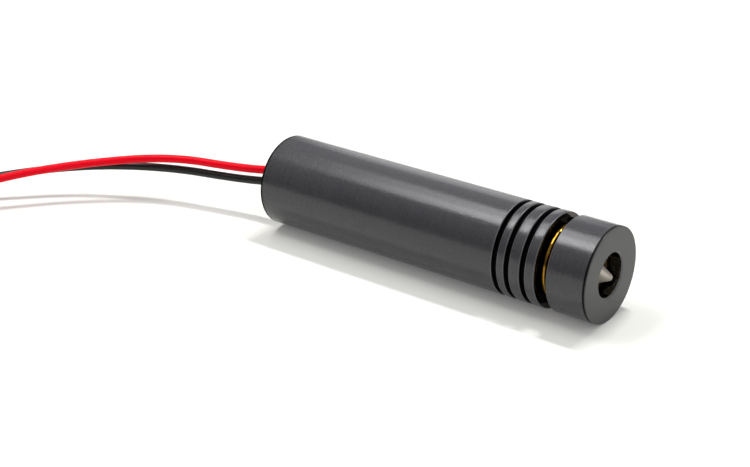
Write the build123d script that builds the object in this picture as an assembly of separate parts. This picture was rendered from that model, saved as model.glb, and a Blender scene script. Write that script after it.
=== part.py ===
from build123d import *
import math
import os

# Line laser diode module: a turned housing with a focusing head that screws in and out.
# Sizes are in millimetres. The optical axis runs along X, the beam leaves towards +X,
# and the module lies on its side with the floor at Z = 0.

# Outer body
body_diameter = 16.0
module_length = 65.4
housing_wall = 1.3
edge_chamfer = 0.2

# Focusing cap and the gap between it and the housing
cap_length = 7.0
cap_face_thickness = 2.6
cap_wall = 2.0
head_gap = 2.2
exit_hole_margin = 0.7
exit_hole_chamfer = 0.25

# Grip ribs at the front of the housing, listed from the front
rib_widths = (1.75, 1.95, 1.35)
groove_width = 0.95
groove_depth = 1.0

# Brass barrel that carries the lenses, with the walls round its two pockets
barrel_length = 13.9
ring_pocket_wall = 1.8
collimator_pocket_wall = 2.5

# Line lens: a glass rod with a roof whose rounded ridge spreads the beam
line_lens_length = 7.0
line_lens_seat = 0.8
ridge_recess = 1.05
ridge_radius = 0.65
roof_slope = 62.0
ridge_turn = -35.0
line_lens_ring_width = 1.2
line_lens_ring_thickness = 1.0

# Collimating lens and the ring that holds it
collimator_edge = 1.4
dome_margin = 0.2
dome_roundness = 0.9
collimator_ring_thickness = 1.5
collimator_ring_width = 0.9
collimator_ring_recess = 0.4

# Spring that takes up the play in the focusing thread
spring_length = 4.0
spring_inset = 0.75
spring_wire = 0.5
spring_turns = 3

# Brass holder that carries the diode and leads its heat into the housing
holder_length = 8.0
header_seat_depth = 3.0
can_hole_diameter = 4.8

# Laser diode in a metal can
header_diameter = 5.6
header_thickness = 1.2
can_diameter = 3.6
can_height = 2.3
can_wall = 0.2
can_opening = 1.6
window_diameter = 2.4
window_thickness = 0.25
chip_length = 1.2
chip_width = 1.0
chip_depth = 0.8
diode_ring_length = 1.5
diode_ring_bore = 3.8
lead_diameter = 0.45
lead_circle = 2.0
lead_overlap = 2.0
trimmed_lead_length = 2.3

# Driver board inside an insulating sleeve. The board takes a share of the room behind the holder,
# and each row of parts stands at a share of the board's length.
sleeve_wall = 0.4
board_gap = 1.0
board_share = 0.69
board_thickness = 1.0
resistor_size = (2.0, 0.5, 1.25)
resistor_place = 0.18
resistor_spacing = 3.4
driver_size = (4.9, 1.4, 3.9)
driver_place = 0.44
driver_standoff = 0.15
pin_pitch = 1.27
pin_width = 0.4
pin_thickness = 0.2
pin_reach = 1.0
pins_per_side = 4
capacitor_size = (3.2, 1.4, 1.6)
capacitor_place = 0.73
capacitor_spacing = 5.2

# Rear plug and the two supply wires
plug_length = 3.7
plug_recess = 0.3
plug_chamfer = 0.3
wire_diameter = 1.5
wire_pitch = 2.2
conductor_diameter = 0.7
conductor_overlap = 2.5
tail_gap = 0.6
tip_length = 5.0

# Clearances: a fit that turns, a pressed or cemented seat, the sleeve, the board and a wire hole
running_clearance = 0.05
seat_clearance = 0.02
sleeve_clearance = 0.1
board_clearance = 0.05
wire_hole_clearance = 0.15

# Places that follow from the sizes, as distances behind the front face
axis_height = body_diameter / 2
front_x = module_length / 2
rear_x = -module_length / 2
housing_front = cap_length + head_gap
barrel_front = cap_face_thickness
barrel_rear = barrel_front + barrel_length
line_lens_base = ridge_recess + line_lens_length
collimator_rear = barrel_rear - collimator_ring_recess - collimator_ring_thickness
collimator_seat = collimator_rear - collimator_edge
holder_front = barrel_rear + spring_length
holder_rear = holder_front + holder_length
header_front = holder_front + header_seat_depth
header_rear = header_front + header_thickness
plug_rear = module_length - plug_recess
plug_front = plug_rear - plug_length
board_front = holder_rear + board_gap
board_length = board_share * (plug_front - holder_rear)
board_rear = board_front + board_length

# Diameters and faces that follow from the sizes
barrel_diameter = body_diameter - 2 * cap_wall
line_lens_ring_diameter = barrel_diameter - 2 * ring_pocket_wall
line_lens_diameter = line_lens_ring_diameter - 2 * line_lens_ring_width
exit_hole_diameter = line_lens_diameter + 2 * exit_hole_margin
beam_bore_diameter = line_lens_diameter - 2 * line_lens_seat
collimator_diameter = barrel_diameter - 2 * collimator_pocket_wall
collimator_ring_bore = collimator_diameter - 2 * collimator_ring_width
dome_aperture = beam_bore_diameter - 2 * dome_margin
dome_radius = dome_roundness * dome_aperture
spring_diameter = barrel_diameter - 2 * spring_inset
housing_bore = body_diameter - 2 * housing_wall
sleeve_diameter = housing_bore - 2 * sleeve_clearance
sleeve_bore = sleeve_diameter - 2 * sleeve_wall
dome_height = dome_radius - math.sqrt(dome_radius**2 - (dome_aperture / 2) ** 2)
board_face = -conductor_diameter / 2
wire_offset = wire_pitch / 2

# Wire routes: (distance behind the housing, Y, height above the floor)
wire_start = -5.0
red_route = [
    (wire_start, 0.0, axis_height + wire_offset),
    (2.0, 0.0, axis_height + wire_offset),
    (10.0, -1.8, 8.2),
    (24.5, -5.4, 8.2),
    (36.5, -15.4, 7.2),
    (46.0, -27.2, 5.9),
    (53.0, -38.0, 3.2),
    (62.0, -43.5, wire_diameter / 2),
    (79.5, -45.0, wire_diameter / 2),
]
black_route = [
    (wire_start, 0.0, axis_height - wire_offset),
    (2.0, 0.0, axis_height - wire_offset),
    (10.0, -1.7, 6.0),
    (25.0, -5.5, 6.0),
    (38.8, -13.4, 5.6),
    (49.3, -24.5, 4.6),
    (58.5, -35.0, 2.6),
    (67.5, -39.5, wire_diameter / 2),
    (83.0, -41.0, wire_diameter / 2),
]
arc_share = 0.45


# Shared shapes
def turned(outline):
    """Solid of revolution about the optical axis from (distance behind the front face, radius)."""
    points = [(front_x - distance, radius) for distance, radius in outline]
    profile = make_face(Polyline(*points, close=True))
    return Pos(0, 0, axis_height) * revolve(profile, Axis.X)


def ring(start, end, outer_diameter, inner_diameter):
    """Plain ring about the optical axis."""
    outer = outer_diameter / 2
    inner = inner_diameter / 2
    return turned([(start, inner), (start, outer), (end, outer), (end, inner)])


def rod(start, end, diameter, y=0.0, z=0.0):
    """Round rod along X, with Y and Z counted from the optical axis."""
    face = Plane(origin=(front_x - start, y, axis_height + z), z_dir=(-1, 0, 0)) * Circle(diameter / 2)
    return extrude(face, end - start)


def block(start, end, y_low, y_high, z_low, z_high):
    """Rectangular block, with Y and Z counted from the optical axis."""
    box = Box(end - start, y_high - y_low, z_high - z_low)
    middle = front_x - (start + end) / 2
    return Pos(middle, (y_low + y_high) / 2, axis_height + (z_low + z_high) / 2) * box


# Housing and focusing cap
def housing():
    radius = body_diameter / 2
    groove_bottom = radius - groove_depth
    outline = [(housing_front, radius)]
    edge = housing_front
    for rib_width in rib_widths:
        edge += rib_width
        far_edge = edge + groove_width
        outline += [(edge, radius), (edge, groove_bottom), (far_edge, groove_bottom), (far_edge, radius)]
        edge = far_edge
    thread_bore = barrel_diameter / 2 + running_clearance
    outline += [
        (module_length - edge_chamfer, radius),
        (module_length, radius - edge_chamfer),
        (module_length, housing_bore / 2),
        (holder_front, housing_bore / 2),
        (holder_front, thread_bore),
        (housing_front, thread_bore),
    ]
    return turned(outline)


def front_cap():
    radius = body_diameter / 2
    hole = exit_hole_diameter / 2
    barrel_bore = barrel_diameter / 2 + seat_clearance
    return turned([
        (0, hole + exit_hole_chamfer),
        (0, radius - edge_chamfer),
        (edge_chamfer, radius),
        (cap_length, radius),
        (cap_length, barrel_bore),
        (cap_face_thickness, barrel_bore),
        (cap_face_thickness, hole),
        (exit_hole_chamfer, hole),
    ])


# Focusing barrel with its two lenses
def lens_barrel():
    ring_pocket = line_lens_ring_diameter / 2 + seat_clearance
    lens_pocket = line_lens_diameter / 2 + seat_clearance
    beam_bore = beam_bore_diameter / 2
    collimator_pocket = collimator_diameter / 2 + seat_clearance
    ring_seat = barrel_front + line_lens_ring_thickness
    return turned([
        (barrel_front, ring_pocket),
        (barrel_front, barrel_diameter / 2),
        (barrel_rear, barrel_diameter / 2),
        (barrel_rear, collimator_pocket),
        (collimator_seat, collimator_pocket),
        (collimator_seat, beam_bore),
        (line_lens_base, beam_bore),
        (line_lens_base, lens_pocket),
        (ring_seat, lens_pocket),
        (ring_seat, ring_pocket),
    ])


def line_lens():
    """Round rod cut by a roof: two sloping flanks meet in a rounded ridge across the axis."""
    blank = rod(ridge_recess, line_lens_base, line_lens_diameter)
    slope = math.radians(roof_slope)
    ridge_x = front_x - ridge_recess
    tangent_across = ridge_radius * math.sin(slope)
    tangent_x = ridge_x - ridge_radius * (1 - math.cos(slope))
    half_width = line_lens_diameter
    eaves_x = tangent_x - (half_width - tangent_across) * math.tan(slope)
    base_x = min(front_x - line_lens_base, eaves_x) - line_lens_length
    flanks = Polyline(
        (tangent_x, tangent_across),
        (eaves_x, half_width),
        (base_x, half_width),
        (base_x, -half_width),
        (eaves_x, -half_width),
        (tangent_x, -tangent_across),
    )
    crest = ThreePointArc((tangent_x, -tangent_across), (ridge_x, 0), (tangent_x, tangent_across))
    turn = math.radians(ridge_turn)
    across_ridge = Plane(
        origin=(0, 0, axis_height),
        x_dir=(1, 0, 0),
        z_dir=(0, math.cos(turn), math.sin(turn)),
    )
    roof = extrude(across_ridge * make_face([*flanks.edges(), crest]), line_lens_diameter, both=True)
    return blank & roof


def line_lens_ring():
    lens_bore = line_lens_diameter + 2 * seat_clearance
    return ring(barrel_front, barrel_front + line_lens_ring_thickness, line_lens_ring_diameter, lens_bore)


def collimating_lens():
    """Flat towards the diode, domed towards the beam, with a flat rim that seats in the barrel."""
    rear = front_x - collimator_rear
    seat = front_x - collimator_seat
    half_aperture = dome_aperture / 2
    dome_centre = seat + dome_height - dome_radius
    middle_angle = math.asin(half_aperture / dome_radius) / 2
    middle = (dome_centre + dome_radius * math.cos(middle_angle), dome_radius * math.sin(middle_angle))
    rim = Polyline(
        (seat + dome_height, 0),
        (rear, 0),
        (rear, collimator_diameter / 2),
        (seat, collimator_diameter / 2),
        (seat, half_aperture),
    )
    dome = ThreePointArc((seat, half_aperture), middle, (seat + dome_height, 0))
    profile = make_face([*rim.edges(), dome])
    return Pos(0, 0, axis_height) * revolve(profile, Axis.X)


def collimator_ring():
    ring_end = collimator_rear + collimator_ring_thickness
    return ring(collimator_rear, ring_end, collimator_diameter, collimator_ring_bore)


def focus_spring():
    """Compression spring of square wire between the barrel and the holder."""
    coil_radius = (spring_diameter - spring_wire) / 2
    end_room = spring_wire / 2 + seat_clearance
    coil_height = spring_length - 2 * end_room
    coil = Helix(
        pitch=coil_height / spring_turns,
        height=coil_height,
        radius=coil_radius,
        center=(front_x - barrel_rear - end_room, 0, axis_height),
        direction=(-1, 0, 0),
    )
    section = Plane(origin=coil @ 0, x_dir=(1, 0, 0), z_dir=coil % 0) * Rectangle(spring_wire, spring_wire)
    return sweep(section, coil, is_frenet=True)


# Diode holder and laser diode
def diode_holder():
    can_hole = can_hole_diameter / 2
    header_pocket = header_diameter / 2 + seat_clearance
    outer = housing_bore / 2 - seat_clearance
    return turned([
        (holder_front, can_hole),
        (holder_front, outer),
        (holder_rear, outer),
        (holder_rear, header_pocket),
        (header_front, header_pocket),
        (header_front, can_hole),
    ])


def diode_header():
    return rod(header_front, header_rear, header_diameter)


def diode_can():
    top = header_front - can_height
    outer = can_diameter / 2
    inner = outer - can_wall
    opening = can_opening / 2
    return turned([
        (top, opening),
        (top, outer),
        (header_front, outer),
        (header_front, inner),
        (top + can_wall, inner),
        (top + can_wall, opening),
    ])


def diode_window():
    front = header_front - can_height + can_wall
    return rod(front, front + window_thickness, window_diameter)


def diode_chip():
    """Heat-sink post with the laser chip level with the optical axis."""
    return block(header_front - chip_length, header_front, -chip_width / 2, chip_width / 2, -chip_depth, 0)


def diode_ring():
    return ring(header_rear, header_rear + diode_ring_length, header_diameter, diode_ring_bore)


def diode_leads():
    """Two leads soldered to the board and a third trimmed short."""
    reach = lead_circle / 2
    board_end = board_front + lead_overlap
    upper = rod(header_rear, board_end, lead_diameter, z=reach)
    lower = rod(header_rear, board_end, lead_diameter, z=-reach)
    trimmed = rod(header_rear, header_rear + trimmed_lead_length, lead_diameter, y=reach)
    return upper + lower + trimmed


# Driver board with its parts, standing upright in the sleeve
def insulating_sleeve():
    return ring(holder_rear, plug_front, sleeve_diameter, sleeve_bore)


def driver_board():
    back = board_face - board_thickness
    half_height = math.sqrt((sleeve_bore / 2) ** 2 - back**2) - board_clearance
    return block(board_front, board_rear, back, board_face, -half_height, half_height)


def on_board(size, place, z, standoff=0.0):
    """Block of the given size on the board's face, with its middle at a share of the board's length."""
    length, thickness, width = size
    start = board_front + place * board_length - length / 2
    foot = board_face + standoff
    return block(start, start + length, foot, foot + thickness, z - width / 2, z + width / 2)


def driver_chip():
    return on_board(driver_size, driver_place, 0.0, driver_standoff)


def driver_chip_pins():
    """Bent pins: a flat foot on the board, a riser and a short shoulder into the case."""
    half_width = driver_size[2] / 2
    shoulder = board_face + driver_standoff + driver_size[1] / 2
    chip_middle = board_front + driver_place * board_length
    pins = []
    for side in (-1, 1):
        for number in range(pins_per_side):
            middle = chip_middle + (number - (pins_per_side - 1) / 2) * pin_pitch
            outline = [
                (0, shoulder + pin_thickness / 2),
                (pin_reach / 2 + pin_thickness / 2, shoulder + pin_thickness / 2),
                (pin_reach / 2 + pin_thickness / 2, board_face + pin_thickness),
                (pin_reach, board_face + pin_thickness),
                (pin_reach, board_face),
                (pin_reach / 2 - pin_thickness / 2, board_face),
                (pin_reach / 2 - pin_thickness / 2, shoulder - pin_thickness / 2),
                (0, shoulder - pin_thickness / 2),
            ]
            across = Plane(
                origin=(front_x - middle, 0, axis_height + side * half_width),
                x_dir=(0, 0, side),
                z_dir=(-side, 0, 0),
            )
            face = across * make_face(Polyline(*outline, close=True))
            pins.append(extrude(face, pin_width / 2, both=True))
    return Compound(children=pins)


def driver_resistors():
    heights = (-resistor_spacing, 0.0, resistor_spacing)
    return Compound(children=[on_board(resistor_size, resistor_place, height) for height in heights])


def driver_capacitors():
    heights = (-capacitor_spacing / 2, capacitor_spacing / 2)
    return Compound(children=[on_board(capacitor_size, capacitor_place, height) for height in heights])


# Rear plug, wire ends on the board and the two supply wires
def rear_plug():
    outer = housing_bore / 2 - seat_clearance
    body = turned([
        (plug_front, 0),
        (plug_front, outer),
        (plug_rear - plug_chamfer, outer),
        (plug_rear, outer - plug_chamfer),
        (plug_rear, 0),
    ])
    hole_diameter = wire_diameter + 2 * wire_hole_clearance
    for side in (-1, 1):
        body -= rod(plug_front, plug_rear, hole_diameter, z=side * wire_offset)
    return body


def inner_conductors():
    """Stripped wire ends that lie on the board's rear pads."""
    start = board_rear - conductor_overlap
    end = board_rear + tail_gap
    upper = rod(start, end, conductor_diameter, z=wire_offset)
    lower = rod(start, end, conductor_diameter, z=-wire_offset)
    return upper + lower


def wire_tail(z):
    """Insulated wire between the board and the start of the free wire in the plug."""
    return rod(board_rear + tail_gap, module_length + wire_start, wire_diameter, z=z)


def route_points(route):
    return [Vector(rear_x - behind, y, height) for behind, y, height in route]


def bend_radii(points):
    """Largest tangent arc at each corner that leaves a straight piece in both runs beside it."""
    radii = []
    for before, corner, after in zip(points, points[1:], points[2:]):
        turn = math.radians((corner - before).get_angle(after - corner))
        shorter_run = min((corner - before).length, (after - corner).length)
        radii.append(arc_share * shorter_run / math.tan(turn / 2))
    return radii


def free_wire(name, route):
    points = route_points(route)
    radii = bend_radii(points)
    path = FilletPolyline(*points, radius=radii)
    section = Plane(origin=path @ 0, z_dir=path % 0) * Circle(wire_diameter / 2)
    wire = sweep(section, path)
    plain_volume = math.pi * (wire_diameter / 2) ** 2 * path.length
    print(name, "length", round(path.length, 2), "volume", round(wire.volume, 2), "of", round(plain_volume, 2))
    print(name, "radii", [round(radius, 1) for radius in radii])
    return wire


def wire_tip(route):
    """Tinned end of the conductor, straight on from the wire's last run."""
    before, end = route_points(route)[-2:]
    face = Plane(origin=end, z_dir=end - before) * Circle(conductor_diameter / 2)
    return extrude(face, tip_length)


parts = {
    "housing": housing(),
    "front_cap": front_cap(),
    "lens_barrel": lens_barrel(),
    "line_lens": line_lens(),
    "line_lens_ring": line_lens_ring(),
    "collimating_lens": collimating_lens(),
    "collimator_ring": collimator_ring(),
    "focus_spring": focus_spring(),
    "diode_holder": diode_holder(),
    "diode_header": diode_header(),
    "diode_can": diode_can(),
    "diode_window": diode_window(),
    "diode_chip": diode_chip(),
    "diode_ring": diode_ring(),
    "diode_leads": diode_leads(),
    "insulating_sleeve": insulating_sleeve(),
    "driver_board": driver_board(),
    "driver_chip": driver_chip(),
    "driver_chip_pins": driver_chip_pins(),
    "driver_resistors": driver_resistors(),
    "driver_capacitors": driver_capacitors(),
    "inner_conductors": inner_conductors(),
    "red_wire_tail": wire_tail(wire_offset),
    "black_wire_tail": wire_tail(-wire_offset),
    "rear_plug": rear_plug(),
    "red_wire": free_wire("red_wire", red_route),
    "black_wire": free_wire("black_wire", black_route),
    "red_wire_tip": wire_tip(red_route),
    "black_wire_tip": wire_tip(black_route),
}

os.makedirs("parts", exist_ok=True)
for name, shape in parts.items():
    export_step(shape, f"parts/{name}.step")
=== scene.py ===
import math

import bmesh
import bpy
from mathutils import Matrix, Vector


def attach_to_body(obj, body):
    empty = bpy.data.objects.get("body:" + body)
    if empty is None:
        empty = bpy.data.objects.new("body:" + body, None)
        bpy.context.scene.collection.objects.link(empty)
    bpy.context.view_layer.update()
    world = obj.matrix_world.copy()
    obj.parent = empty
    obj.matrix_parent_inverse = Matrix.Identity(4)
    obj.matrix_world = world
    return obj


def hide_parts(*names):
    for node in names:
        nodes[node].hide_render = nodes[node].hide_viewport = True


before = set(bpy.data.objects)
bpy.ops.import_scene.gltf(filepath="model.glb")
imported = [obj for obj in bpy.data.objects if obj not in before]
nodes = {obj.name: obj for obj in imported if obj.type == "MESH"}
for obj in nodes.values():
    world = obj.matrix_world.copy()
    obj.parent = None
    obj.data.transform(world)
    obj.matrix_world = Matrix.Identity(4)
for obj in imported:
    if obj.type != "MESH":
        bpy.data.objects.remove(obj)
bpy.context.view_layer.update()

# Sizes of the module in millimetres, as in the solids. "Behind" is the distance behind the front face.
MM = 0.001
BODY_RADIUS = 8.0
MODULE_LENGTH = 65.4
AXIS_HEIGHT = BODY_RADIUS
FRONT_X = MODULE_LENGTH / 2
REAR_X = -MODULE_LENGTH / 2
CAP_LENGTH = 7.0
CAP_FACE = 2.6
CAP_BORE = 6.02
HOLE_RADIUS = 3.7
HOLE_CHAMFER = 0.25
HOUSING_FRONT = 9.2
RIB_WIDTHS = (1.75, 1.95, 1.35)
GROOVE_WIDTH = 0.95
GROOVE_DEPTH = 1.0
HOUSING_BORE = 6.7
THREAD_BORE = 6.05
HOLDER_FRONT = 20.5
BARREL_RADIUS = 6.0
BARREL_REAR = 16.5
BEAM_BORE = 2.2
COLLIMATOR_POCKET = 3.52
COLLIMATOR_SEAT = 13.2
POCKET_FIT = 0.02
LENS_RADIUS = 3.0
LENS_BASE = 8.05
RIDGE_BEHIND = 1.05
RIDGE_RADIUS = 0.65
ROOF_SLOPE = math.radians(62.0)
RIDGE_TURN = math.radians(-35.0)
RING_RADIUS = 4.2
RING_THICKNESS = 1.0
RING_BORE = 3.02
PLUG_FRONT = 61.4
PLUG_REAR = 65.1
PLUG_RADIUS = 6.68
WIRE_DIAMETER = 1.5
WIRE_OFFSET = 1.1
WIRE_HOLE_RADIUS = 0.9
CONDUCTOR_DIAMETER = 0.7
TIP_LENGTH = 5.0

# Wire routes, as in the solids: (distance behind the housing, Y, height above the floor)
RED_ROUTE = [
    (-5.0, 0.0, 9.1),
    (2.0, 0.0, 9.1),
    (10.0, -1.8, 8.2),
    (24.5, -5.4, 8.2),
    (36.5, -15.4, 7.2),
    (46.0, -27.2, 5.9),
    (53.0, -38.0, 3.2),
    (62.0, -43.5, 0.75),
    (79.5, -45.0, 0.75),
]
BLACK_ROUTE = [
    (-5.0, 0.0, 6.9),
    (2.0, 0.0, 6.9),
    (10.0, -1.7, 6.0),
    (25.0, -5.5, 6.0),
    (38.8, -13.4, 5.6),
    (49.3, -24.5, 4.6),
    (58.5, -35.0, 2.6),
    (67.5, -39.5, 0.75),
    (83.0, -41.0, 0.75),
]

# Forms that are finer than the solids, with lengths in millimetres
MOUTH_RADIUS = 7.05
MOUTH_DEPTH = 1.4
COLLAR_RADIUS = 6.55
COLLAR_FRONT = 8.08
COLLAR_REAR = 8.6
THREAD_START = 10.4
THREAD_END = 16.2
THREAD_PITCH = 0.5
THREAD_DEPTH = 0.27
STRAND_MARGIN = 0.06
STRANDS = 7
STRAND_TURNS = 1.1

# Rounding of edges and width of the rims of painted shade, in millimetres
EDGE = 0.1
FINE_EDGE = 0.05
HOLE_EDGE = 0.04
SEAT_EDGE = 0.06
RING_EDGE = 0.08
RIB_ROUND = 0.15
RIM_ROUND = 0.15
RIM_SHADE = 0.5
REAR_SHADE = 0.4
PLUG_BEVEL = 0.12

# Fineness of the meshes
SEGMENTS = 192
ROUNDING_STEPS = 4
THREAD_ROWS = 8
LENS_COLUMNS = 96
LENS_ROWS = 24
LENS_CROWDING = 0.35
PLUG_POINTS = 96
WIRE_HOLE_POINTS = 48
STRAND_STEPS = 24
SHARP_ANGLE = math.radians(32.0)
MERGE_DISTANCE = 1e-7

# Textures: waves to the millimetre, the middle of a noise, and how slowly tool marks change round the axis
MARKS_PER_MM = 4.0
GRAIN_PER_MM = 2.8
CLOUDS_PER_MM = 0.25
NOISE_LOW = 0.3
NOISE_HIGH = 0.7
MARK_STRETCH = 0.06

# Floor in metres: half its side, the paper's colours, light that keeps it white and where that light grows
FLOOR_HALF = 5.0
FLOOR_DARK = (0.75, 0.75, 0.705)
FLOOR_LIGHT = (0.77, 0.77, 0.725)
FLOOR_LIFT = (0.12, 0.78)
FLOOR_REACH = (0.13, 0.70)

# Dome: sine of the height above the horizon, light level and share of blue
DOME = [
    (0.0, 0.14, 1.05),
    (0.2, 0.18, 1.08),
    (0.42, 0.28, 1.08),
    (0.64, 0.48, 1.05),
    (0.8, 0.52, 1.02),
    (0.95, 0.30, 1.0),
]

# Band lamps, in metres: rows of (name, Y, radiance) and columns of (name, X, width, share of the radiance)
BAND_HEIGHT = 0.43
BAND_DEPTH = 0.14
BAND_ROWS = [("front", -0.105, 11.6), ("back", 0.035, 6.2)]
BAND_COLUMNS = [("near", -0.18, 0.09, 1.0), ("far", -0.265, 0.07, 0.5)]

# Camera: place, target, focal length and width of the sensor, all in millimetres
CAMERA_PLACE = (134.224, -192.817, 111.674)
CAMERA_TARGET = (-13.526, 0.0, 2.544)
CAMERA_LENS = 73.63
CAMERA_SENSOR = 36.0


# Shader helpers
def add(tree, kind, inputs=None, **settings):
    """Adds a shader node. An input takes a value or the output that it is linked to."""
    item = tree.nodes.new("ShaderNode" + kind)
    for key, value in settings.items():
        setattr(item, key, value)
    for key, value in (inputs or {}).items():
        if isinstance(value, bpy.types.NodeSocket):
            tree.links.new(value, item.inputs[key])
        else:
            item.inputs[key].default_value = value
    return item


def calculate(tree, operation, first, second=0.0):
    """Result of one step of arithmetic."""
    return add(tree, "Math", {0: first, 1: second}, operation=operation).outputs[0]


def object_place(tree):
    """Place on the piece in metres."""
    return add(tree, "TexCoord").outputs["Object"]


def turned_place(tree):
    """Place about the optical axis: across the tool marks, then the way round, which changes slowly."""
    split = add(tree, "SeparateXYZ", {"Vector": object_place(tree)}).outputs
    height = calculate(tree, "SUBTRACT", split["Z"], AXIS_HEIGHT * MM)
    square_y = calculate(tree, "POWER", split["Y"], 2.0)
    square_z = calculate(tree, "POWER", height, 2.0)
    radius = calculate(tree, "SQRT", calculate(tree, "ADD", square_y, square_z))
    combined = add(tree, "CombineXYZ", {
        "X": calculate(tree, "ADD", split["X"], radius),
        "Y": calculate(tree, "MULTIPLY", split["Y"], MARK_STRETCH),
        "Z": calculate(tree, "MULTIPLY", height, MARK_STRETCH),
    })
    return combined.outputs[0]


def noise(tree, place, per_mm, detail=3.0, roughness=0.55):
    """Noise with about per_mm waves to the millimetre."""
    texture = add(tree, "TexNoise", {
        "Vector": place, "Scale": per_mm / MM, "Detail": detail, "Roughness": roughness,
    })
    return texture.outputs["Fac"]


def spread(tree, value, low, high, start=NOISE_LOW, end=NOISE_HIGH):
    """Maps a value, such as the middle of a noise, to the range from low to high."""
    item = add(tree, "MapRange", {
        "Value": value, "From Min": start, "From Max": end, "To Min": low, "To Max": high,
    })
    return item.outputs["Result"]


def tint(tree, value, dark, light):
    """Colour between dark and light by the middle of a noise."""
    ramp = add(tree, "ValToRGB", {"Fac": value})
    low, high = ramp.color_ramp.elements
    low.position = NOISE_LOW
    low.color = (*dark, 1.0)
    high.position = NOISE_HIGH
    high.color = (*light, 1.0)
    return ramp.outputs["Color"]


def mean(tree, first, second, share):
    """Mix of two values, with the second one's share."""
    return add(tree, "Mix", {"Factor": share, "A": first, "B": second}).outputs["Result"]


def relief(tree, shader, height, depth):
    """Bump of a given depth in millimetres."""
    bump = add(tree, "Bump", {"Height": height, "Distance": depth * MM, "Strength": 1.0})
    tree.links.new(bump.outputs["Normal"], shader.inputs["Normal"])


def coat(tree, shader, colour, roughness):
    """Links a colour and a roughness to the shader."""
    tree.links.new(colour, shader.inputs["Base Color"])
    tree.links.new(roughness, shader.inputs["Roughness"])


# Materials, kept by name
MATERIALS = {}


def surface(name, **values):
    """New material with a Principled shader whose plain values are set on its sockets."""
    material = bpy.data.materials.new(name)
    material.use_nodes = True
    MATERIALS[name] = material
    tree = material.node_tree
    shader = tree.nodes["Principled BSDF"]
    for key, value in values.items():
        shader.inputs[key.replace("_", " ")].default_value = value
    return tree, shader


def anodised(name, dark, light, smooth, rough, specular, grain_depth):
    """Black-anodised aluminium: a blasted grain over fine tool marks round the axis."""
    tree, shader = surface(name, Specular_IOR_Level=specular)
    marks = noise(tree, turned_place(tree), MARKS_PER_MM, 4.0, 0.6)
    grain = noise(tree, object_place(tree), GRAIN_PER_MM, 2.0, 0.6)
    clouds = noise(tree, object_place(tree), CLOUDS_PER_MM, 2.0)
    mottle = mean(tree, mean(tree, grain, marks, 0.4), clouds, 0.15)
    wear = mean(tree, marks, grain, 0.5)
    coat(tree, shader, tint(tree, mottle, dark, light), spread(tree, wear, smooth, rough))
    relief(tree, shader, mean(tree, grain, marks, 0.25), grain_depth)


def brass():
    """Turned brass with tool marks and a soft mottle, its whole colour darkened as painted shade for the dim
    gap where it shows.
    """
    tree, shader = surface("brass", Metallic=1.0)
    marks = noise(tree, turned_place(tree), MARKS_PER_MM, 4.0, 0.6)
    brass_mottle = noise(tree, object_place(tree), 0.4, 3.0)
    # Both brass tones are darkened as painted shade for the dim gap between cap and housing
    colour = tint(tree, brass_mottle, (0.22, 0.115, 0.012), (0.34, 0.19, 0.024))
    coat(tree, shader, colour, spread(tree, marks, 0.10, 0.20))
    relief(tree, shader, marks, 0.012)


def glass():
    """Optical glass with a faint haze of dust."""
    tree, shader = surface("lens_glass", Transmission_Weight=1.0, IOR=1.52)
    dust = noise(tree, object_place(tree), 3.0, 4.0)
    colour = tint(tree, dust, (0.96, 0.97, 0.95), (1.0, 1.0, 1.0))
    coat(tree, shader, colour, spread(tree, dust, 0.0, 0.05, 0.45, 0.8))


def metal(name, dark, light, smooth, rough, per_mm=2.0):
    """Bare or plated metal with a soft mottle."""
    tree, shader = surface(name, Metallic=1.0)
    mottle = noise(tree, object_place(tree), per_mm, 4.0)
    coat(tree, shader, tint(tree, mottle, dark, light), spread(tree, mottle, smooth, rough))
    relief(tree, shader, mottle, 0.004)


def plastic(name, dark, light, smooth, rough, grain_depth=0.006, per_mm=1.5, **values):
    """Moulded plastic, ceramic, insulation or ground glass with a fine texture."""
    tree, shader = surface(name, **values)
    mottle = noise(tree, object_place(tree), per_mm, 3.0)
    grain = noise(tree, object_place(tree), per_mm * 5, 2.0)
    wear = mean(tree, mottle, grain, 0.5)
    coat(tree, shader, tint(tree, mottle, dark, light), spread(tree, wear, smooth, rough))
    relief(tree, shader, grain, grain_depth)


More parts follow.
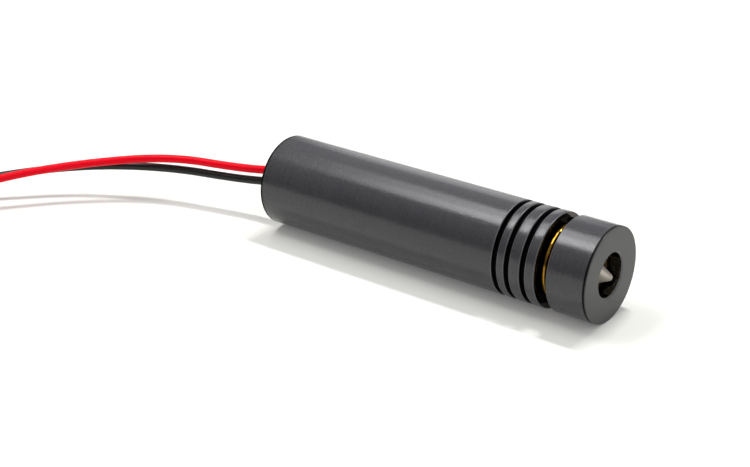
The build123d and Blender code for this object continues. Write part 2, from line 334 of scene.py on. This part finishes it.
def make_materials():
    """Each finish: name, dark and light colour, roughness from and to, then what its function adds."""
    anodised("black_anodised", (0.031, 0.031, 0.035), (0.051, 0.051, 0.056), 0.16, 0.25, 0.42, 0.022)
    # Near-black copy of the anodising: painted shade in grooves, bores, gap faces and the bands at the rims
    anodised("anodised_painted_shade", (0.001, 0.001, 0.0012), (0.003, 0.003, 0.0033), 0.35, 0.5, 0.06, 0.002)
    # Lighter copy of the anodising on the rounded rib and cap edges: painted highlight
    anodised("anodised_painted_highlight", (0.07, 0.07, 0.074), (0.10, 0.10, 0.105), 0.25, 0.35, 0.5, 0.002)
    anodised("anodised_face", (0.053, 0.053, 0.054), (0.065, 0.065, 0.066), 0.30, 0.38, 0.26, 0.002)
    # Lighter copy of the anodising on the exit-hole chamfer: painted highlight
    anodised("anodised_painted_chamfer_highlight", (0.10, 0.10, 0.102), (0.14, 0.14, 0.142), 0.35, 0.45, 0.4, 0.002)
    metal("anodised_bore", (0.008, 0.007, 0.006), (0.07, 0.062, 0.05), 0.06, 0.12)
    brass()
    glass()
    plastic("ground_glass", (0.88, 0.83, 0.72), (0.94, 0.89, 0.79), 0.55, 0.7)
    plastic(
        "lens_roof", (0.72, 0.65, 0.53), (0.79, 0.72, 0.60), 0.3, 0.4, 0.002,
        Transmission_Weight=0.3, IOR=1.52, Sheen_Weight=0.8, Sheen_Roughness=0.3,
    )
    # Lighter finish for the ends of the lens roof: painted highlight
    plastic("lens_painted_highlight", (0.92, 0.88, 0.80), (0.95, 0.92, 0.85), 0.3, 0.4, 0.002)
    metal("ring_bronze", (0.16, 0.10, 0.055), (0.24, 0.16, 0.09), 0.2, 0.32)
    metal("spring_steel", (0.45, 0.45, 0.46), (0.62, 0.62, 0.63), 0.2, 0.35)
    metal("diode_metal", (0.62, 0.50, 0.30), (0.82, 0.68, 0.42), 0.18, 0.32)
    metal("tinned_wire", (0.58, 0.58, 0.57), (0.78, 0.78, 0.77), 0.22, 0.4, 4.0)
    plastic("sleeve_plastic", (0.42, 0.36, 0.22), (0.52, 0.45, 0.28), 0.3, 0.45)
    plastic("board_laminate", (0.012, 0.11, 0.035), (0.02, 0.17, 0.055), 0.3, 0.42)
    plastic("chip_case", (0.012, 0.012, 0.013), (0.024, 0.024, 0.025), 0.45, 0.6)
    plastic("capacitor_ceramic", (0.36, 0.24, 0.13), (0.46, 0.32, 0.19), 0.35, 0.5)
    plastic("plug_plastic", (0.012, 0.012, 0.012), (0.02, 0.02, 0.02), 0.38, 0.52)
    plastic(
        "red_pvc", (0.80, 0.0, 0.010), (0.84, 0.0, 0.014), 0.28, 0.36, 0.001, 0.4,
        Specular_IOR_Level=0.1,
    )
    plastic(
        "black_pvc", (0.006, 0.006, 0.006), (0.010, 0.010, 0.010), 0.26, 0.34, 0.001, 0.4,
        Specular_IOR_Level=0.3,
    )


# Mesh helpers
def x_at(behind):
    """X in metres at a distance behind the front face."""
    return (FRONT_X - behind) * MM


def placed(name, data):
    """New object in the scene."""
    item = bpy.data.objects.new(name, data)
    bpy.context.scene.collection.objects.link(item)
    return item


def attach(piece, body, node):
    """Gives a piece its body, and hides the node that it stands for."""
    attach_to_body(piece, body)
    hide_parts(node)
    return piece


def finished(name, mesh, finishes, body, node):
    """Turns a mesh into a piece of the module with smooth faces, sharp edges and its materials."""
    piece = placed(name, mesh)
    for finish in finishes:
        mesh.materials.append(MATERIALS[finish])
    mesh.polygons.foreach_set("use_smooth", [True] * len(mesh.polygons))
    mesh.set_sharp_from_angle(angle=SHARP_ANGLE)
    even = piece.modifiers.new("even_normals", "WEIGHTED_NORMAL")
    even.keep_sharp = True
    return attach(piece, body, node)


def closed(mesh, merge=False):
    """Joins points that coincide, where asked to, and turns the faces outwards."""
    shape = bmesh.new()
    shape.from_mesh(mesh)
    if merge:
        bmesh.ops.remove_doubles(shape, verts=shape.verts, dist=MERGE_DISTANCE)
        bmesh.ops.dissolve_degenerate(shape, edges=shape.edges, dist=MERGE_DISTANCE)
    bmesh.ops.recalc_face_normals(shape, faces=shape.faces)
    shape.to_mesh(mesh)
    shape.free()
    mesh.update()
    return mesh


def mesh_from(name, vertices, faces, zones, merge=False):
    """Closed mesh with the zone of each face as its material."""
    mesh = bpy.data.meshes.new(name)
    mesh.from_pydata(vertices, [], faces)
    mesh.polygons.foreach_set("material_index", zones)
    return closed(mesh, merge)


def mesh_of_curve(curve):
    """Mesh of a curve, which itself doesn't stay in the scene."""
    drawn = placed(curve.name, curve)
    bpy.context.view_layer.update()
    evaluated = drawn.evaluated_get(bpy.context.evaluated_depsgraph_get())
    mesh = bpy.data.meshes.new_from_object(evaluated)
    bpy.data.objects.remove(drawn)
    mesh.materials.clear()
    return mesh


def rounded(corners):
    """Closed outline of (behind, radius, zone) with the corners rounded by their own lengths.

    A corner is (behind, radius, rounding, zone of the rounded edge, zone of the run after it).
    """
    outline = []
    for number, (behind, radius, round_off, edge_zone, run_zone) in enumerate(corners):
        corner = Vector((behind, radius))
        if round_off == 0:
            outline.append((behind, radius, run_zone))
            continue
        before = Vector(corners[number - 1][:2])
        after = Vector(corners[(number + 1) % len(corners)][:2])
        start = corner + (before - corner).normalized() * round_off
        end = corner + (after - corner).normalized() * round_off
        for step in range(ROUNDING_STEPS + 1):
            share = step / ROUNDING_STEPS
            point = start * (1 - share) ** 2 + corner * 2 * share * (1 - share) + end * share**2
            outline.append((point.x, point.y, edge_zone if step < ROUNDING_STEPS else run_zone))
    return outline


def one_finish(corners):
    """Corners of a piece that has the same finish all over."""
    return [(behind, radius, round_off, 0, 0) for behind, radius, round_off in corners]


def turned_mesh(name, outline, radius_at=None):
    """Solid of revolution about the optical axis. radius_at may change the radius by place and angle."""
    vertices = []
    faces = []
    zones = []
    for row, (behind, radius, zone) in enumerate(outline):
        this_row = row * SEGMENTS
        next_row = (row + 1) % len(outline) * SEGMENTS
        for step in range(SEGMENTS):
            angle = 2 * math.pi * step / SEGMENTS
            reach = radius_at(behind, radius, angle) if radius_at else radius
            y = reach * math.cos(angle)
            z = AXIS_HEIGHT + reach * math.sin(angle)
            vertices.append((x_at(behind), y * MM, z * MM))
            following = (step + 1) % SEGMENTS
            faces.append((this_row + step, this_row + following, next_row + following, next_row + step))
            zones.append(zone)
    return mesh_from(name, vertices, faces, zones)


# Housing and cap, with a zone for each finish
ANODISED_FINISHES = [
    "black_anodised", "anodised_painted_shade", "anodised_painted_highlight", "anodised_painted_chamfer_highlight", "anodised_face", "anodised_bore",
]
# The near-black zone is painted shade; the lighter zones on rounded edges and on the exit-hole chamfer are
# painted highlights
PLAIN, PAINTED_SHADE, PAINTED_EDGE_HIGHLIGHT, PAINTED_CHAMFER_HIGHLIGHT, FACE, GLOSS = range(len(ANODISED_FINISHES))


def housing():
    """Housing with three grip grooves and a wider mouth. Grooves, bores and a band before the rear rim get
    painted shade, the rounded rib edges a painted highlight.
    """
    corners = [(HOUSING_FRONT, BODY_RADIUS, RIB_ROUND, PAINTED_EDGE_HIGHLIGHT, PLAIN)]
    edge = HOUSING_FRONT
    groove_floor = BODY_RADIUS - GROOVE_DEPTH
    for width in RIB_WIDTHS:
        edge += width
        far = edge + GROOVE_WIDTH
        corners += [
            (edge, BODY_RADIUS, RIB_ROUND, PAINTED_EDGE_HIGHLIGHT, PAINTED_SHADE),
            (edge, groove_floor, EDGE, PAINTED_SHADE, PAINTED_SHADE),
            (far, groove_floor, EDGE, PAINTED_SHADE, PAINTED_SHADE),
            (far, BODY_RADIUS, RIB_ROUND, PAINTED_EDGE_HIGHLIGHT, PLAIN),
        ]
        edge = far
    mouth_end = HOUSING_FRONT + MOUTH_DEPTH
    corners += [
        # Near-black band before the rear rim: painted shade
        (MODULE_LENGTH - REAR_SHADE, BODY_RADIUS, 0.0, PAINTED_SHADE, PAINTED_SHADE),
        (MODULE_LENGTH, BODY_RADIUS, EDGE, PAINTED_SHADE, PLAIN),
        (MODULE_LENGTH, HOUSING_BORE, EDGE, PAINTED_SHADE, PAINTED_SHADE),
        (HOLDER_FRONT, HOUSING_BORE, EDGE, PAINTED_SHADE, PAINTED_SHADE),
        (HOLDER_FRONT, THREAD_BORE, EDGE, PAINTED_SHADE, PAINTED_SHADE),
        (mouth_end, THREAD_BORE, EDGE, PAINTED_SHADE, PAINTED_SHADE),
        (mouth_end, MOUTH_RADIUS, EDGE, PAINTED_SHADE, PAINTED_SHADE),
        (HOUSING_FRONT, MOUTH_RADIUS, EDGE, PAINTED_SHADE, GLOSS),
    ]
    mesh = turned_mesh("housing_shell", rounded(corners))
    return finished("housing_shell", mesh, ANODISED_FINISHES, "housing", "housing")


def front_cap():
    """Cap of the focusing head with its chamfered exit hole, whose chamfer gets a painted highlight, a band
    of painted shade behind its front rim and painted shade on its rear face and bore; its rounded rear edge
    gets a painted highlight.
    """
    corners = [
        (0.0, HOLE_RADIUS + HOLE_CHAMFER, HOLE_EDGE, PAINTED_CHAMFER_HIGHLIGHT, FACE),
        # Near-black band behind the front rim, and the cap's rear face and bore: painted shade
        (0.0, BODY_RADIUS, RIM_ROUND, FACE, PAINTED_SHADE),
        (RIM_SHADE, BODY_RADIUS, 0.0, PLAIN, PLAIN),
        (CAP_LENGTH, BODY_RADIUS, EDGE, PAINTED_EDGE_HIGHLIGHT, PAINTED_SHADE),
        (CAP_LENGTH, CAP_BORE, EDGE, PAINTED_SHADE, PAINTED_SHADE),
        (CAP_FACE, CAP_BORE, EDGE, PAINTED_SHADE, PAINTED_SHADE),
        (CAP_FACE, HOLE_RADIUS, HOLE_EDGE, GLOSS, GLOSS),
        (HOLE_CHAMFER, HOLE_RADIUS, HOLE_EDGE, PAINTED_CHAMFER_HIGHLIGHT, PAINTED_CHAMFER_HIGHLIGHT),
    ]
    mesh = turned_mesh("cap_shell", rounded(corners))
    return finished("cap_shell", mesh, ANODISED_FINISHES, "focus_head", "front_cap")


# Lens barrel and the ring in its front
def thread_radius(behind, radius, angle):
    """Radius of the barrel with a V thread that runs out at both ends."""
    if radius < BARREL_RADIUS or not THREAD_START <= behind <= THREAD_END:
        return radius
    phase = (behind / THREAD_PITCH - angle / (2 * math.pi)) % 1.0
    groove = 1.0 - abs(2.0 * phase - 1.0)
    run_out = min(1.0, (behind - THREAD_START) / THREAD_PITCH, (THREAD_END - behind) / THREAD_PITCH)
    return radius - THREAD_DEPTH * groove * run_out


def lens_barrel():
    """Brass barrel with a low collar, the focusing thread, and a pocket at each end for a lens."""
    ring_pocket = RING_RADIUS + POCKET_FIT
    lens_pocket = LENS_RADIUS + POCKET_FIT
    ring_seat = CAP_FACE + RING_THICKNESS
    front = [
        (CAP_FACE, ring_pocket, 0.0),
        (CAP_FACE, BARREL_RADIUS, EDGE),
        (COLLAR_FRONT, BARREL_RADIUS, FINE_EDGE),
        (COLLAR_FRONT, COLLAR_RADIUS, EDGE),
        (COLLAR_REAR, COLLAR_RADIUS, EDGE),
        (COLLAR_REAR, BARREL_RADIUS, FINE_EDGE),
    ]
    rows = round((THREAD_END - THREAD_START) / THREAD_PITCH * THREAD_ROWS)
    step = (THREAD_END - THREAD_START) / rows
    thread = [(THREAD_START + row * step, BARREL_RADIUS, 0.0) for row in range(rows + 1)]
    inside = [
        (BARREL_REAR, BARREL_RADIUS, EDGE),
        (BARREL_REAR, COLLIMATOR_POCKET, SEAT_EDGE),
        (COLLIMATOR_SEAT, COLLIMATOR_POCKET, 0.0),
        (COLLIMATOR_SEAT, BEAM_BORE, SEAT_EDGE),
        (LENS_BASE, BEAM_BORE, SEAT_EDGE),
        (LENS_BASE, lens_pocket, 0.0),
        (ring_seat, lens_pocket, 0.0),
        (ring_seat, ring_pocket, 0.0),
    ]
    outline = rounded(one_finish(front + thread + inside))
    mesh = turned_mesh("threaded_barrel", outline, thread_radius)
    return finished("threaded_barrel", mesh, ["brass"], "focus_head", "lens_barrel")


def lens_ring():
    """Ring that holds the line lens in the barrel."""
    ring_seat = CAP_FACE + RING_THICKNESS
    corners = [
        (CAP_FACE, RING_BORE, RING_EDGE),
        (CAP_FACE, RING_RADIUS, FINE_EDGE),
        (ring_seat, RING_RADIUS, FINE_EDGE),
        (ring_seat, RING_BORE, FINE_EDGE),
    ]
    mesh = turned_mesh("lens_retainer", rounded(one_finish(corners)))
    return finished(
        "lens_retainer", mesh, ["ring_bronze"], "focus_head", "line_lens_ring",
    )


# Line lens: a glass rod whose roof-shaped front has a rounded ridge
LENS_FINISHES = ["lens_glass", "ground_glass", "lens_roof", "lens_painted_highlight"]
BASE, SIDE, ROOF, ROOF_PAINTED_HIGHLIGHT = range(len(LENS_FINISHES))


def roof_drop(across):
    """How far the roof lies behind its ridge at a distance across it."""
    tangent = RIDGE_RADIUS * math.sin(ROOF_SLOPE)
    away = abs(across)
    if away <= tangent:
        return RIDGE_RADIUS - math.sqrt(RIDGE_RADIUS**2 - away**2)
    return RIDGE_RADIUS * (1 - math.cos(ROOF_SLOPE)) + (away - tangent) * math.tan(ROOF_SLOPE)


def lens_point(behind, across, along):
    """Point of the lens from its distance behind the front face and its place across and along the ridge."""
    y = along * math.cos(RIDGE_TURN) - across * math.sin(RIDGE_TURN)
    z = along * math.sin(RIDGE_TURN) + across * math.cos(RIDGE_TURN)
    return x_at(behind), y * MM, (AXIS_HEIGHT + z) * MM


def column_place(column):
    """Place of a column across the ridge. The columns lie closer together near it."""
    turn = 2 * column / LENS_COLUMNS - 1
    wide = math.sin(turn * math.pi / 2) * abs(turn)
    return LENS_RADIUS * (LENS_CROWDING * turn**3 + (1 - LENS_CROWDING) * wide)


def lens_vertices():
    """Points of the roof, then those of the flat base, in columns that run along the ridge."""
    vertices = []
    for on_roof in (True, False):
        for column in range(LENS_COLUMNS + 1):
            across = column_place(column)
            behind = RIDGE_BEHIND + roof_drop(across) if on_roof else LENS_BASE
            half_run = math.sqrt(max(0.0, LENS_RADIUS**2 - across**2))
            for row in range(LENS_ROWS + 1):
                vertices.append(lens_point(behind, across, half_run * (2 * row / LENS_ROWS - 1)))
    return vertices


def line_lens():
    """Lens with a clear base, a ground round side, and a roof whose lighter strips at both ends are a
    painted highlight.
    """
    faces = []
    zones = []
    row_length = LENS_ROWS + 1
    base = row_length * (LENS_COLUMNS + 1)
    for column in range(LENS_COLUMNS):
        start = column * row_length
        for row in range(LENS_ROWS):
            first = start + row
            quad = (first, first + 1, first + row_length + 1, first + row_length)
            faces.append(quad)
            faces.append(tuple(base + corner for corner in reversed(quad)))
            # Rows at both ends of the roof get the lighter finish, a painted highlight
            zones += [ROOF_PAINTED_HIGHLIGHT if row in (0, LENS_ROWS - 1) else ROOF, BASE]
        for row in (0, LENS_ROWS):
            first = start + row
            second = first + row_length
            faces.append((first, second, base + second, base + first))
            zones.append(SIDE)
    mesh = mesh_from("roof_lens", lens_vertices(), faces, zones, merge=True)
    return finished("roof_lens", mesh, LENS_FINISHES, "focus_head", "line_lens")


# Rear plug with its two wire holes
def circle_spline(curve, z, radius, count):
    """Circle in the plug's outline, with its middle at a height above the axis."""
    spline = curve.splines.new("POLY")
    spline.points.add(count - 1)
    for number, point in enumerate(spline.points):
        angle = 2 * math.pi * number / count
        point.co = (radius * math.cos(angle) * MM, (z + radius * math.sin(angle)) * MM, 0.0, 1.0)
    spline.use_cyclic_u = True


def rear_plug():
    """Flat disc with rounded rims, drawn as an outline with two holes and given its thickness."""
    curve = bpy.data.curves.new("plug_outline", "CURVE")
    curve.dimensions = "2D"
    curve.fill_mode = "BOTH"
    curve.extrude = (PLUG_REAR - PLUG_FRONT - 2 * PLUG_BEVEL) / 2 * MM
    curve.bevel_depth = PLUG_BEVEL * MM
    curve.bevel_resolution = 3
    curve.offset = -PLUG_BEVEL * MM
    circle_spline(curve, 0.0, PLUG_RADIUS, PLUG_POINTS)
    for side in (-1, 1):
        circle_spline(curve, side * WIRE_OFFSET, WIRE_HOLE_RADIUS, WIRE_HOLE_POINTS)
    mesh = mesh_of_curve(curve)
    middle = x_at((PLUG_FRONT + PLUG_REAR) / 2)
    mesh.transform(Matrix(((0, 0, 1, middle), (1, 0, 0, 0), (0, 1, 0, AXIS_HEIGHT * MM), (0, 0, 0, 1))))
    closed(mesh, merge=True)
    return finished("wire_plug", mesh, ["plug_plastic"], "housing", "rear_plug")


# Supply wires and their tinned tips
def route_points(route):
    """Points of a route in metres."""
    return [Vector((REAR_X - behind, y, height)) * MM for behind, y, height in route]


def round_curve(name, diameter, fineness):
    """Curve without a course yet, whose section is a full circle. Diameter in metres."""
    curve = bpy.data.curves.new(name, "CURVE")
    curve.dimensions = "3D"
    curve.bevel_depth = diameter / 2
    curve.bevel_resolution = fineness
    curve.use_fill_caps = True
    return curve


def wire(name, route, node, slot_name):
    """Round insulated wire on one smooth curve through the route's points."""
    curve = round_curve(name, WIRE_DIAMETER * MM, 8)
    curve.resolution_u = 24
    points = route_points(route)
    spline = curve.splines.new("NURBS")
    spline.points.add(len(points) - 1)
    for point, place in zip(spline.points, points):
        point.co = (*place, 1.0)
    spline.order_u = 3
    spline.use_endpoint_u = True
    curve.materials.append(MATERIALS[slot_name])
    return attach(placed(name, curve), "housing", node)


def wire_tip(name, route, node):
    """Tinned conductor: six strands twisted round a seventh, straight on from the wire's end."""
    before, end = route_points(route)[-2:]
    ahead = (end - before).normalized()
    side = ahead.cross(Vector((0, 0, 1))).normalized()
    up = side.cross(ahead)
    strand = CONDUCTOR_DIAMETER / 3 * MM
    length = (TIP_LENGTH - STRAND_MARGIN) * MM
    curve = round_curve(name, strand, 3)
    for number in range(STRANDS):
        spline = curve.splines.new("POLY")
        spline.points.add(STRAND_STEPS)
        reach = strand if number else 0.0
        for step, point in enumerate(spline.points):
            share = step / STRAND_STEPS
            angle = 2 * math.pi * (number / (STRANDS - 1) + STRAND_TURNS * share)
            offset = side * math.cos(angle) * reach + up * math.sin(angle) * reach
            point.co = (*(end + ahead * length * share + offset), 1.0)
    mesh = mesh_of_curve(curve)
    return finished(name, mesh, ["tinned_wire"], "housing", node)


# CAD nodes that keep their shape and get a finish
KEPT_NODES = {
    "black_anodised": ["collimator_ring"],
    "brass": ["diode_holder", "diode_ring"],
    "lens_glass": ["collimating_lens", "diode_window"],
    "spring_steel": ["focus_spring"],
    "diode_metal": ["diode_header", "diode_can", "diode_chip"],
    "tinned_wire": ["diode_leads", "driver_chip_pins", "inner_conductors"],
    "sleeve_plastic": ["insulating_sleeve"],
    "board_laminate": ["driver_board"],
    "chip_case": ["driver_chip", "driver_resistors"],
    "capacitor_ceramic": ["driver_capacitors"],
    "red_pvc": ["red_wire_tail"],
    "black_pvc": ["black_wire_tail"],
}


def finish_kept_nodes():
    """Gives each of these nodes its material."""
    for slot_name, names in KEPT_NODES.items():
        for name in names:
            materials = nodes[name].data.materials
            materials.clear()
            materials.append(MATERIALS[slot_name])


# Stage: floor, surroundings, lamps and camera
def floor_surface():
    """White paper that stays white away from the lamps where it is seen directly or in gloss and glass."""
    material = bpy.data.materials.new("floor")
    material.use_nodes = True
    tree = material.node_tree
    tree.nodes.clear()
    place = object_place(tree)
    colour = tint(tree, noise(tree, place, 0.05, 2.0), FLOOR_DARK, FLOOR_LIGHT)
    diffuse = add(tree, "BsdfDiffuse", {"Color": colour})
    rays = add(tree, "LightPath").outputs
    direct = calculate(tree, "MAXIMUM", rays["Is Camera Ray"], rays["Is Glossy Ray"])
    seen = calculate(tree, "MAXIMUM", direct, rays["Is Transmission Ray"])
    away = add(tree, "VectorMath", {0: place}, operation="LENGTH").outputs["Value"]
    wanted = spread(tree, away, *FLOOR_LIFT, *FLOOR_REACH)
    glow = add(tree, "Emission", {"Strength": calculate(tree, "MULTIPLY", seen, wanted)})
    both = add(tree, "AddShader", {0: diffuse.outputs[0], 1: glow.outputs[0]})
    output = add(tree, "OutputMaterial", {"Surface": both.outputs[0]})
    output.is_active_output = True
    return material


def floor():
    """Square sheet that the module lies on."""
    corners = [(x * FLOOR_HALF, y * FLOOR_HALF, 0) for x, y in ((-1, -1), (1, -1), (1, 1), (-1, 1))]
    mesh = bpy.data.meshes.new("floor")
    mesh.from_pydata(corners, [], [(0, 1, 2, 3)])
    mesh.materials.append(floor_surface())
    placed("floor", mesh)


def surroundings():
    """Soft dome whose light depends on the height above the horizon."""
    world = bpy.data.worlds.new("studio")
    world.use_nodes = True
    tree = world.node_tree
    direction = add(tree, "TexCoord").outputs["Generated"]
    height = add(tree, "SeparateXYZ", {"Vector": direction}).outputs["Z"]
    ramp = add(tree, "ValToRGB", {"Fac": height})
    stops = ramp.color_ramp.elements
    while len(stops) < len(DOME):
        stops.new(0.5)
    for stop, (place, level, blue) in zip(stops, DOME):
        stop.position = place
        stop.color = (level, level, level * blue, 1.0)
    background = tree.nodes["Background"]
    tree.links.new(ramp.outputs["Color"], background.inputs["Color"])
    background.inputs["Strength"].default_value = 1.0
    bpy.context.scene.world = world


def lamp(name, place, size, radiance):
    """Rectangular lamp that faces the module, with its first side along X. Place and size in metres."""
    light = bpy.data.lights.new(name, "AREA")
    light.shape = "RECTANGLE"
    light.size, light.size_y = size
    light.energy = radiance * math.pi * size[0] * size[1]
    back = (Vector(place) - Vector((0, 0, AXIS_HEIGHT * MM))).normalized()
    along = Vector((1, 0, 0))
    along = (along - back * along.dot(back)).normalized()
    turn = Matrix((along, back.cross(along), back)).transposed()
    placed(name, light).matrix_world = Matrix.Translation(place) @ turn.to_4x4()


def lamps():
    """Soft lamps behind and to the right, band lamps for the long highlights, and a key for the shadow."""
    lamp("soft_back_left", (-0.387, 0.597, 0.232), (0.19, 0.36), 1.25)
    lamp("soft_back_high", (-0.390, 0.320, 0.540), (0.19, 0.40), 0.45)
    lamp("soft_right", (0.45, -0.30, 0.40), (0.40, 0.40), 1.6)
    for column, x, width, share in BAND_COLUMNS:
        for row, y, radiance in BAND_ROWS:
            lamp(f"band_{row}_{column}", (x, y, BAND_HEIGHT), (width, BAND_DEPTH), radiance * share)
    lamp("key", (0.0, 0.143, 0.405), (0.10, 0.03), 127.0)


def camera():
    """Camera that looks at the module as the photo does."""
    data = bpy.data.cameras.new("camera")
    data.sensor_fit = "HORIZONTAL"
    data.sensor_width = CAMERA_SENSOR
    data.lens = CAMERA_LENS
    data.clip_start = 0.01
    piece = placed("camera", data)
    place = Vector(CAMERA_PLACE) * MM
    target = Vector(CAMERA_TARGET) * MM
    piece.location = place
    piece.rotation_euler = (target - place).to_track_quat("-Z", "Y").to_euler()
    bpy.context.scene.camera = piece


# The module
make_materials()
housing()
front_cap()
lens_barrel()
lens_ring()
line_lens()
rear_plug()
red_wire = wire("red_lead", RED_ROUTE, "red_wire", "red_pvc")
black_wire = wire("black_lead", BLACK_ROUTE, "black_wire", "black_pvc")
red_tip = wire_tip("red_lead_tip", RED_ROUTE, "red_wire_tip")
black_tip = wire_tip("black_lead_tip", BLACK_ROUTE, "black_wire_tip")
finish_kept_nodes()

# The stage
floor()
surroundings()
lamps()
camera()
bpy.context.scene.view_settings.view_transform = "Standard"
